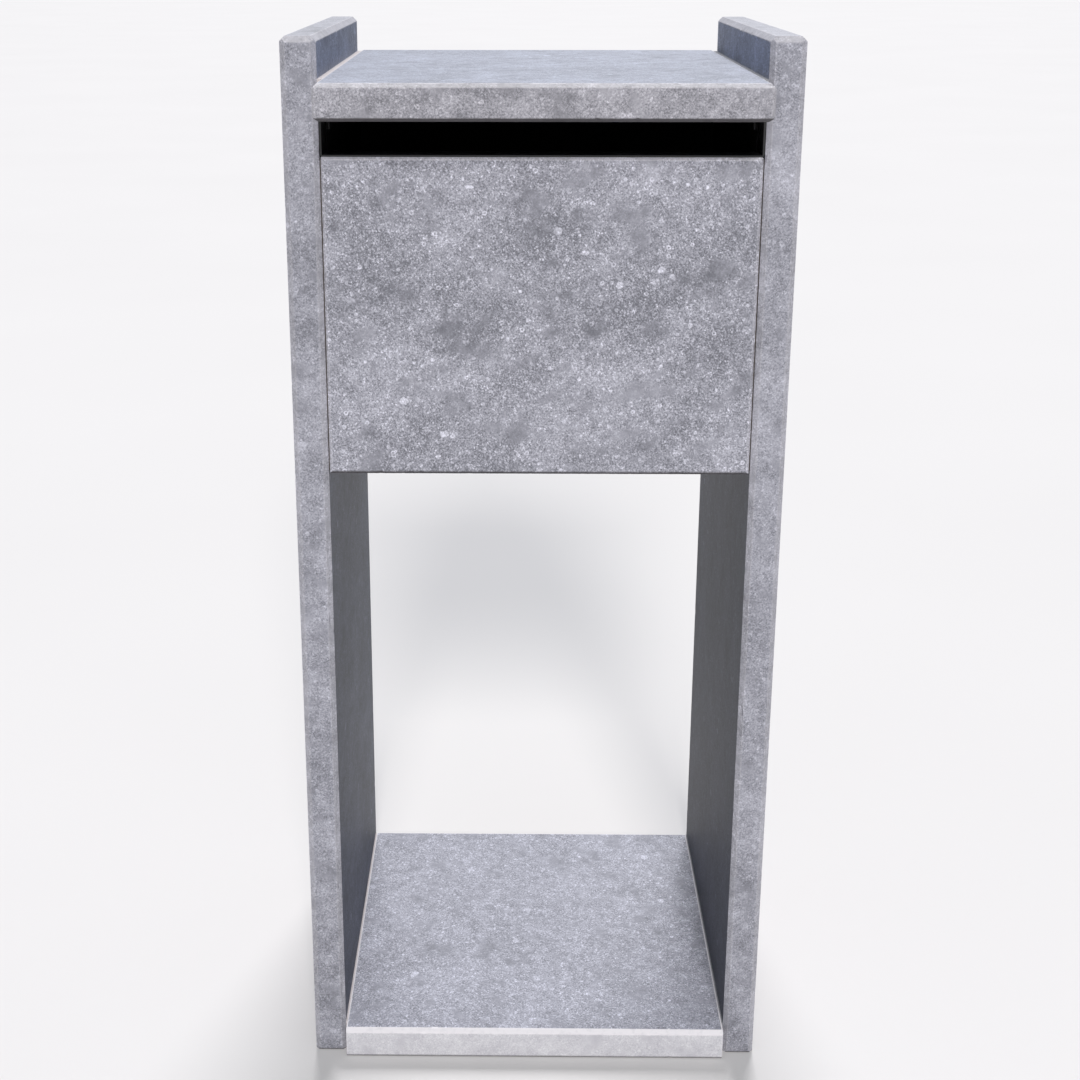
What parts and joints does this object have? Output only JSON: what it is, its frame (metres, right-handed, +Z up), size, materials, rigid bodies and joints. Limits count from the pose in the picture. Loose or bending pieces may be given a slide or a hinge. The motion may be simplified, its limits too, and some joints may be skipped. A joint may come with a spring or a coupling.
{
  "type": "pedestal letterbox",
  "caption": "Free-standing stone-slab letterbox with a sheltered letter slot, a rear-opening steel letter compartment with a cam lock, and an open bay above a base slab.",
  "frame": {"origin": "on the ground, at the centre of the rectangle on which the two side slabs stand", "axes": "+Z up, the front with the letter slot faces -Y, the rear door faces +Y, +X to the right seen from the front"},
  "size_m": [0.43, 0.4815, 0.963],
  "materials": {
    "stone": "honed grey fossil-bearing limestone with chamfered arrises",
    "joint_mortar": "matt pale jointing mortar",
    "dark_adhesive": "matt dark stone adhesive",
    "stainless": "plain drawn stainless",
    "powder_coat": "black fine-textured powder coat",
    "zinc_steel": "bright zinc plate",
    "rubber": "black foamed rubber",
    "nylon": "grey nylon",
    "lock_metal": "bright nickel-chrome plate",
    "key_metal": "nickel-plated brass"
  },
  "bodies": {
    "cabinet": {"left_side_slab": "stone", "right_side_slab": "stone", "top_slab": "stone", "front_panel": "stone", "base_slab": "stone", "top_slab_joints": "joint_mortar", "base_slab_joints": "joint_mortar", "front_panel_joints": "dark_adhesive", "top_slab_dowels": "stainless", "base_slab_dowels": "stainless", "front_panel_dowels": "stainless", "liner_shell": "powder_coat", "liner_roof": "powder_coat", "slot_sleeve": "powder_coat", "rear_frame": "powder_coat", "letter_deflector": "powder_coat", "deflector_rivets": "powder_coat", "left_support_angle": "powder_coat", "right_support_angle": "powder_coat", "support_pads": "rubber", "angle_screws": "stainless", "wall_plugs": "nylon", "liner_bolts": "stainless", "liner_nuts": "stainless", "door_seal": "rubber", "pivot_bushes": "nylon"},
    "door": {"door_panel": "powder_coat", "bottom_pivot_pin": "zinc_steel", "top_pivot_screw": "zinc_steel", "pivot_nut": "zinc_steel", "lock_body": "lock_metal", "lock_nut": "zinc_steel"},
    "lock_rotor": {"lock_plug": "lock_metal", "lock_cam": "zinc_steel", "cam_screw": "zinc_steel"},
    "key": {"key": "key_metal"}
  },
  "joints": [
    {"name": "door_hinge", "type": "hinge", "parent": "cabinet", "child": "door", "pos_m": [0.1715, 0.1895, 0.746], "axis": [0, 0, -1], "range_deg": [0, 110]},
    {"name": "lock_turn", "type": "hinge", "parent": "door", "child": "lock_rotor", "pos_m": [-0.145, 0.18, 0.746], "axis": [0, 1, 0], "range_deg": [0, 90]},
    {"name": "key_slide", "type": "slide", "parent": "lock_rotor", "child": "key", "axis": [0, 1, 0], "range_m": [0, 0.018]}
  ]
}
